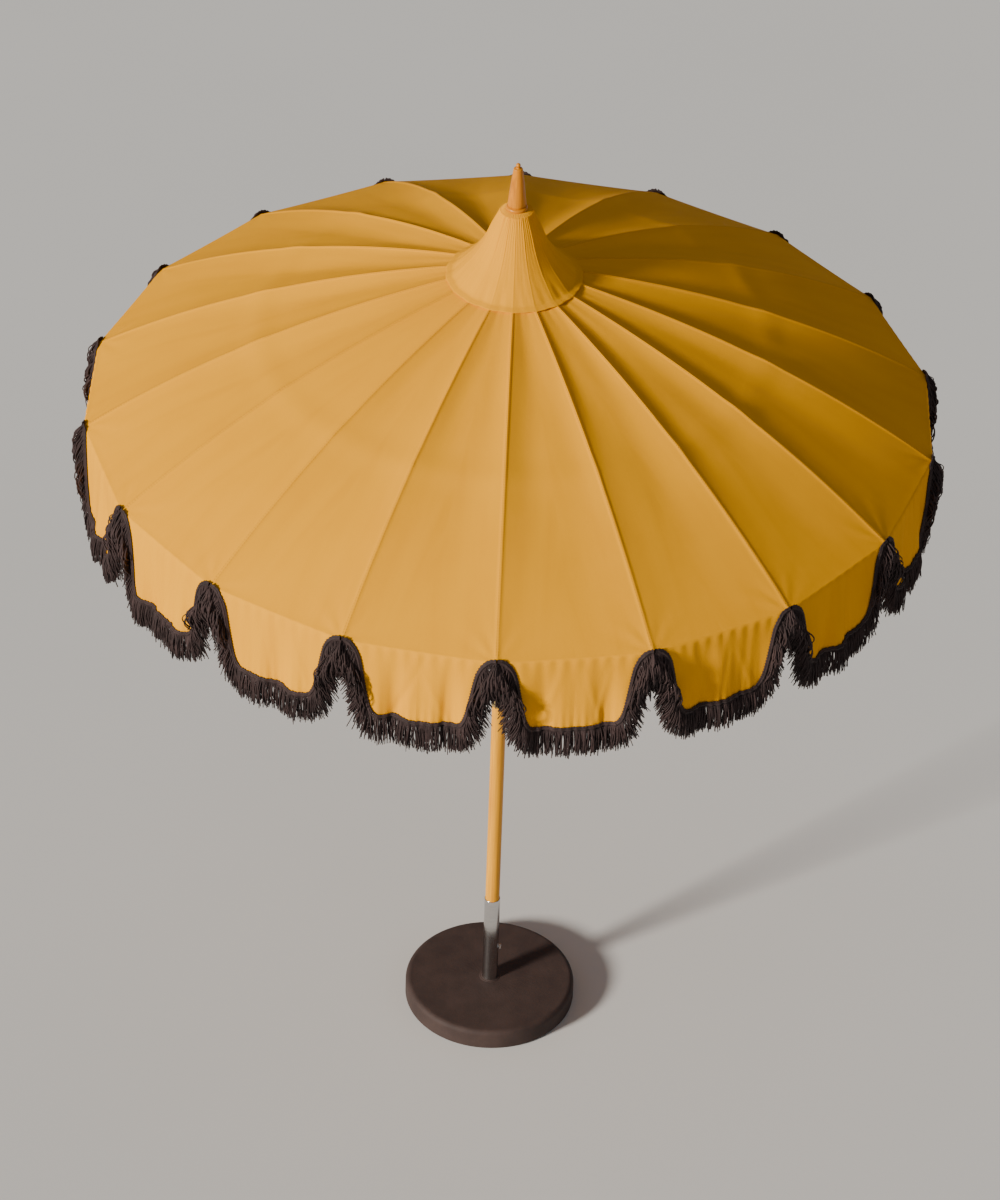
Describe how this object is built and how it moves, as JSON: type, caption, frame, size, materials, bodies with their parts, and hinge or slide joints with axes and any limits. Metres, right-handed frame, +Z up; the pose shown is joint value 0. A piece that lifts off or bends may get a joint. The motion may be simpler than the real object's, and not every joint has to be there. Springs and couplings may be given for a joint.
{
  "type": "beach umbrella",
  "caption": "Pagoda-style beach and garden umbrella with a golden canvas cover, fringed valance, wooden ribs and pole, and a round weighted base",
  "frame": {"origin": "under the middle of the base disc, on the floor", "axes": "+Z is up along the pole; -Y is the side towards the viewer, and rib_00 points along -Y"},
  "size_m": [2.0094, 2.0096, 2.529],
  "materials": {
    "pad_rubber": "matte",
    "base_paint": "matte",
    "concrete": "matte",
    "stainless": "polished",
    "black_plastic": "satin",
    "oiled_wood": "satin",
    "varnished_wood": "gloss",
    "brass_ferrule": "satin",
    "canvas": "matte",
    "fringe_yarn": "matte"
  },
  "bodies": {
    "base": {"base_pad": "pad_rubber", "base_shell": "base_paint", "base_fill": "concrete", "stem_tube": "stainless", "stem_plug": "black_plastic"},
    "screw": {"set_screw": "stainless"},
    "pole_lower": {"lower_pole": "oiled_wood", "pole_ferrule": "brass_ferrule"},
    "upper": {"upper_pole": "oiled_wood", "crown": "oiled_wood", "crown_wire": "stainless", "finial_ring": "varnished_wood", "finial": "varnished_wood", "peak_collar": "varnished_wood", "canopy_peak": "canvas", "canopy": "canvas", "valance": "canvas", "fringe": "fringe_yarn"},
    "runner_body": {"runner": "brass_ferrule", "runner_wire": "stainless"},
    "knob": {"runner_knob": "black_plastic"},
    "rib_body_00": {"rib_00": "oiled_wood"},
    "stretcher_body_00": {"stretcher_00": "oiled_wood"},
    "rib_body_01": {"rib_01": "oiled_wood"},
    "stretcher_body_01": {"stretcher_01": "oiled_wood"},
    "rib_body_02": {"rib_02": "oiled_wood"},
    "stretcher_body_02": {"stretcher_02": "oiled_wood"},
    "rib_body_03": {"rib_03": "oiled_wood"},
    "stretcher_body_03": {"stretcher_03": "oiled_wood"},
    "rib_body_04": {"rib_04": "oiled_wood"},
    "stretcher_body_04": {"stretcher_04": "oiled_wood"},
    "rib_body_05": {"rib_05": "oiled_wood"},
    "stretcher_body_05": {"stretcher_05": "oiled_wood"},
    "rib_body_06": {"rib_06": "oiled_wood"},
    "stretcher_body_06": {"stretcher_06": "oiled_wood"},
    "rib_body_07": {"rib_07": "oiled_wood"},
    "stretcher_body_07": {"stretcher_07": "oiled_wood"},
    "rib_body_08": {"rib_08": "oiled_wood"},
    "stretcher_body_08": {"stretcher_08": "oiled_wood"},
    "rib_body_09": {"rib_09": "oiled_wood"},
    "stretcher_body_09": {"stretcher_09": "oiled_wood"},
    "rib_body_10": {"rib_10": "oiled_wood"},
    "stretcher_body_10": {"stretcher_10": "oiled_wood"},
    "rib_body_11": {"rib_11": "oiled_wood"},
    "stretcher_body_11": {"stretcher_11": "oiled_wood"},
    "rib_body_12": {"rib_12": "oiled_wood"},
    "stretcher_body_12": {"stretcher_12": "oiled_wood"},
    "rib_body_13": {"rib_13": "oiled_wood"},
    "stretcher_body_13": {"stretcher_13": "oiled_wood"},
    "rib_body_14": {"rib_14": "oiled_wood"},
    "stretcher_body_14": {"stretcher_14": "oiled_wood"},
    "rib_body_15": {"rib_15": "oiled_wood"},
    "stretcher_body_15": {"stretcher_15": "oiled_wood"},
    "rib_body_16": {"rib_16": "oiled_wood"},
    "stretcher_body_16": {"stretcher_16": "oiled_wood"},
    "rib_body_17": {"rib_17": "oiled_wood"},
    "stretcher_body_17": {"stretcher_17": "oiled_wood"}
  },
  "joints": [
    {"name": "pole_lift", "type": "slide", "parent": "base", "child": "pole_lower", "axis": [0, 0, 1], "range_m": [0, 0.255]},
    {"name": "upper_pole_lift", "type": "slide", "parent": "pole_lower", "child": "upper", "axis": [0, 0, 1], "range_m": [0, 0.06]},
    {"name": "runner_slide", "type": "slide", "parent": "upper", "child": "runner_body", "axis": [0, 0, -1], "range_m": [0, 0.5752], "deforming": ["canopy", "valance", "fringe"]},
    {"name": "set_screw_turn", "type": "hinge", "parent": "base", "child": "screw", "pos_m": [0, 0, 0.16], "axis": [1, 0, 0], "continuous": true},
    {"name": "runner_knob_turn", "type": "hinge", "parent": "runner_body", "child": "knob", "pos_m": [0, 0, 1.717], "axis": [1, 0, 0], "continuous": true},
    {"name": "rib_fold_00", "type": "hinge", "parent": "upper", "child": "rib_body_00", "pos_m": [0, -0.045, 2.244], "axis": [1, 0, 0], "range_deg": [0, 58.3]},
    {"name": "stretcher_fold_00", "type": "hinge", "parent": "rib_body_00", "child": "stretcher_body_00", "pos_m": [0, -0.52, 2.084], "axis": [-1, 0, 0], "range_deg": [0, 103.4]},
    {"name": "rib_fold_01", "type": "hinge", "parent": "upper", "child": "rib_body_01", "pos_m": [0.01539, -0.04229, 2.244], "axis": [0.9397, 0.342, 0], "range_deg": [0, 58.3]},
    {"name": "stretcher_fold_01", "type": "hinge", "parent": "rib_body_01", "child": "stretcher_body_01", "pos_m": [0.17785, -0.48864, 2.084], "axis": [-0.9397, -0.342, 0], "range_deg": [0, 103.4]},
    {"name": "rib_fold_02", "type": "hinge", "parent": "upper", "child": "rib_body_02", "pos_m": [0.02893, -0.03447, 2.244], "axis": [0.766, 0.6428, 0], "range_deg": [0, 58.3]},
    {"name": "stretcher_fold_02", "type": "hinge", "parent": "rib_body_02", "child": "stretcher_body_02", "pos_m": [0.33425, -0.39834, 2.084], "axis": [-0.766, -0.6428, 0], "range_deg": [0, 103.4]},
    {"name": "rib_fold_03", "type": "hinge", "parent": "upper", "child": "rib_body_03", "pos_m": [0.03897, -0.0225, 2.244], "axis": [0.5, 0.866, 0], "range_deg": [0, 58.3]},
    {"name": "stretcher_fold_03", "type": "hinge", "parent": "rib_body_03", "child": "stretcher_body_03", "pos_m": [0.45033, -0.26, 2.084], "axis": [-0.5, -0.866, 0], "range_deg": [0, 103.4]},
    {"name": "rib_fold_04", "type": "hinge", "parent": "upper", "child": "rib_body_04", "pos_m": [0.04432, -0.00781, 2.244], "axis": [0.1736, 0.9848, 0], "range_deg": [0, 58.3]},
    {"name": "stretcher_fold_04", "type": "hinge", "parent": "rib_body_04", "child": "stretcher_body_04", "pos_m": [0.5121, -0.0903, 2.084], "axis": [-0.1736, -0.9848, 0], "range_deg": [0, 103.4]},
    {"name": "rib_fold_05", "type": "hinge", "parent": "upper", "child": "rib_body_05", "pos_m": [0.04432, 0.00781, 2.244], "axis": [-0.1736, 0.9848, 0], "range_deg": [0, 58.3]},
    {"name": "stretcher_fold_05", "type": "hinge", "parent": "rib_body_05", "child": "stretcher_body_05", "pos_m": [0.5121, 0.0903, 2.084], "axis": [0.1736, -0.9848, 0], "range_deg": [0, 103.4]},
    {"name": "rib_fold_06", "type": "hinge", "parent": "upper", "child": "rib_body_06", "pos_m": [0.03897, 0.0225, 2.244], "axis": [-0.5, 0.866, 0], "range_deg": [0, 58.3]},
    {"name": "stretcher_fold_06", "type": "hinge", "parent": "rib_body_06", "child": "stretcher_body_06", "pos_m": [0.45033, 0.26, 2.084], "axis": [0.5, -0.866, 0], "range_deg": [0, 103.4]},
    {"name": "rib_fold_07", "type": "hinge", "parent": "upper", "child": "rib_body_07", "pos_m": [0.02893, 0.03447, 2.244], "axis": [-0.766, 0.6428, 0], "range_deg": [0, 58.3]},
    {"name": "stretcher_fold_07", "type": "hinge", "parent": "rib_body_07", "child": "stretcher_body_07", "pos_m": [0.33425, 0.39834, 2.084], "axis": [0.766, -0.6428, 0], "range_deg": [0, 103.4]},
    {"name": "rib_fold_08", "type": "hinge", "parent": "upper", "child": "rib_body_08", "pos_m": [0.01539, 0.04229, 2.244], "axis": [-0.9397, 0.342, 0], "range_deg": [0, 58.3]},
    {"name": "stretcher_fold_08", "type": "hinge", "parent": "rib_body_08", "child": "stretcher_body_08", "pos_m": [0.17785, 0.48864, 2.084], "axis": [0.9397, -0.342, 0], "range_deg": [0, 103.4]},
    {"name": "rib_fold_09", "type": "hinge", "parent": "upper", "child": "rib_body_09", "pos_m": [0, 0.045, 2.244], "axis": [-1, 0, 0], "range_deg": [0, 58.3]},
    {"name": "stretcher_fold_09", "type": "hinge", "parent": "rib_body_09", "child": "stretcher_body_09", "pos_m": [0, 0.52, 2.084], "axis": [1, 0, 0], "range_deg": [0, 103.4]},
    {"name": "rib_fold_10", "type": "hinge", "parent": "upper", "child": "rib_body_10", "pos_m": [-0.01539, 0.04229, 2.244], "axis": [-0.9397, -0.342, 0], "range_deg": [0, 58.3]},
    {"name": "stretcher_fold_10", "type": "hinge", "parent": "rib_body_10", "child": "stretcher_body_10", "pos_m": [-0.17785, 0.48864, 2.084], "axis": [0.9397, 0.342, 0], "range_deg": [0, 103.4]},
    {"name": "rib_fold_11", "type": "hinge", "parent": "upper", "child": "rib_body_11", "pos_m": [-0.02893, 0.03447, 2.244], "axis": [-0.766, -0.6428, 0], "range_deg": [0, 58.3]},
    {"name": "stretcher_fold_11", "type": "hinge", "parent": "rib_body_11", "child": "stretcher_body_11", "pos_m": [-0.33425, 0.39834, 2.084], "axis": [0.766, 0.6428, 0], "range_deg": [0, 103.4]},
    {"name": "rib_fold_12", "type": "hinge", "parent": "upper", "child": "rib_body_12", "pos_m": [-0.03897, 0.0225, 2.244], "axis": [-0.5, -0.866, 0], "range_deg": [0, 58.3]},
    {"name": "stretcher_fold_12", "type": "hinge", "parent": "rib_body_12", "child": "stretcher_body_12", "pos_m": [-0.45033, 0.26, 2.084], "axis": [0.5, 0.866, 0], "range_deg": [0, 103.4]},
    {"name": "rib_fold_13", "type": "hinge", "parent": "upper", "child": "rib_body_13", "pos_m": [-0.04432, 0.00781, 2.244], "axis": [-0.1736, -0.9848, 0], "range_deg": [0, 58.3]},
    {"name": "stretcher_fold_13", "type": "hinge", "parent": "rib_body_13", "child": "stretcher_body_13", "pos_m": [-0.5121, 0.0903, 2.084], "axis": [0.1736, 0.9848, 0], "range_deg": [0, 103.4]},
    {"name": "rib_fold_14", "type": "hinge", "parent": "upper", "child": "rib_body_14", "pos_m": [-0.04432, -0.00781, 2.244], "axis": [0.1736, -0.9848, 0], "range_deg": [0, 58.3]},
    {"name": "stretcher_fold_14", "type": "hinge", "parent": "rib_body_14", "child": "stretcher_body_14", "pos_m": [-0.5121, -0.0903, 2.084], "axis": [-0.1736, 0.9848, 0], "range_deg": [0, 103.4]},
    {"name": "rib_fold_15", "type": "hinge", "parent": "upper", "child": "rib_body_15", "pos_m": [-0.03897, -0.0225, 2.244], "axis": [0.5, -0.866, 0], "range_deg": [0, 58.3]},
    {"name": "stretcher_fold_15", "type": "hinge", "parent": "rib_body_15", "child": "stretcher_body_15", "pos_m": [-0.45033, -0.26, 2.084], "axis": [-0.5, 0.866, 0], "range_deg": [0, 103.4]},
    {"name": "rib_fold_16", "type": "hinge", "parent": "upper", "child": "rib_body_16", "pos_m": [-0.02893, -0.03447, 2.244], "axis": [0.766, -0.6428, 0], "range_deg": [0, 58.3]},
    {"name": "stretcher_fold_16", "type": "hinge", "parent": "rib_body_16", "child": "stretcher_body_16", "pos_m": [-0.33425, -0.39834, 2.084], "axis": [-0.766, 0.6428, 0], "range_deg": [0, 103.4]},
    {"name": "rib_fold_17", "type": "hinge", "parent": "upper", "child": "rib_body_17", "pos_m": [-0.01539, -0.04229, 2.244], "axis": [0.9397, -0.342, 0], "range_deg": [0, 58.3]},
    {"name": "stretcher_fold_17", "type": "hinge", "parent": "rib_body_17", "child": "stretcher_body_17", "pos_m": [-0.17785, -0.48864, 2.084], "axis": [-0.9397, 0.342, 0], "range_deg": [0, 103.4]}
  ],
  "couplings": [
    {"joint": "rib_fold_00", "follows": "runner_slide", "rad_per_m": 1.7599},
    {"joint": "stretcher_fold_00", "follows": "runner_slide", "rad_per_m": 3.1268},
    {"joint": "rib_fold_01", "follows": "runner_slide", "rad_per_m": 1.7599},
    {"joint": "stretcher_fold_01", "follows": "runner_slide", "rad_per_m": 3.1268},
    {"joint": "rib_fold_02", "follows": "runner_slide", "rad_per_m": 1.7599},
    {"joint": "stretcher_fold_02", "follows": "runner_slide", "rad_per_m": 3.1268},
    {"joint": "rib_fold_03", "follows": "runner_slide", "rad_per_m": 1.7599},
    {"joint": "stretcher_fold_03", "follows": "runner_slide", "rad_per_m": 3.1268},
    {"joint": "rib_fold_04", "follows": "runner_slide", "rad_per_m": 1.7599},
    {"joint": "stretcher_fold_04", "follows": "runner_slide", "rad_per_m": 3.1268},
    {"joint": "rib_fold_05", "follows": "runner_slide", "rad_per_m": 1.7599},
    {"joint": "stretcher_fold_05", "follows": "runner_slide", "rad_per_m": 3.1268},
    {"joint": "rib_fold_06", "follows": "runner_slide", "rad_per_m": 1.7599},
    {"joint": "stretcher_fold_06", "follows": "runner_slide", "rad_per_m": 3.1268},
    {"joint": "rib_fold_07", "follows": "runner_slide", "rad_per_m": 1.7599},
    {"joint": "stretcher_fold_07", "follows": "runner_slide", "rad_per_m": 3.1268},
    {"joint": "rib_fold_08", "follows": "runner_slide", "rad_per_m": 1.7599},
    {"joint": "stretcher_fold_08", "follows": "runner_slide", "rad_per_m": 3.1268},
    {"joint": "rib_fold_09", "follows": "runner_slide", "rad_per_m": 1.7599},
    {"joint": "stretcher_fold_09", "follows": "runner_slide", "rad_per_m": 3.1268},
    {"joint": "rib_fold_10", "follows": "runner_slide", "rad_per_m": 1.7599},
    {"joint": "stretcher_fold_10", "follows": "runner_slide", "rad_per_m": 3.1268},
    {"joint": "rib_fold_11", "follows": "runner_slide", "rad_per_m": 1.7599},
    {"joint": "stretcher_fold_11", "follows": "runner_slide", "rad_per_m": 3.1268},
    {"joint": "rib_fold_12", "follows": "runner_slide", "rad_per_m": 1.7599},
    {"joint": "stretcher_fold_12", "follows": "runner_slide", "rad_per_m": 3.1268},
    {"joint": "rib_fold_13", "follows": "runner_slide", "rad_per_m": 1.7599},
    {"joint": "stretcher_fold_13", "follows": "runner_slide", "rad_per_m": 3.1268},
    {"joint": "rib_fold_14", "follows": "runner_slide", "rad_per_m": 1.7599},
    {"joint": "stretcher_fold_14", "follows": "runner_slide", "rad_per_m": 3.1268},
    {"joint": "rib_fold_15", "follows": "runner_slide", "rad_per_m": 1.7599},
    {"joint": "stretcher_fold_15", "follows": "runner_slide", "rad_per_m": 3.1268},
    {"joint": "rib_fold_16", "follows": "runner_slide", "rad_per_m": 1.7599},
    {"joint": "stretcher_fold_16", "follows": "runner_slide", "rad_per_m": 3.1268},
    {"joint": "rib_fold_17", "follows": "runner_slide", "rad_per_m": 1.7599},
    {"joint": "stretcher_fold_17", "follows": "runner_slide", "rad_per_m": 3.1268}
  ]
}
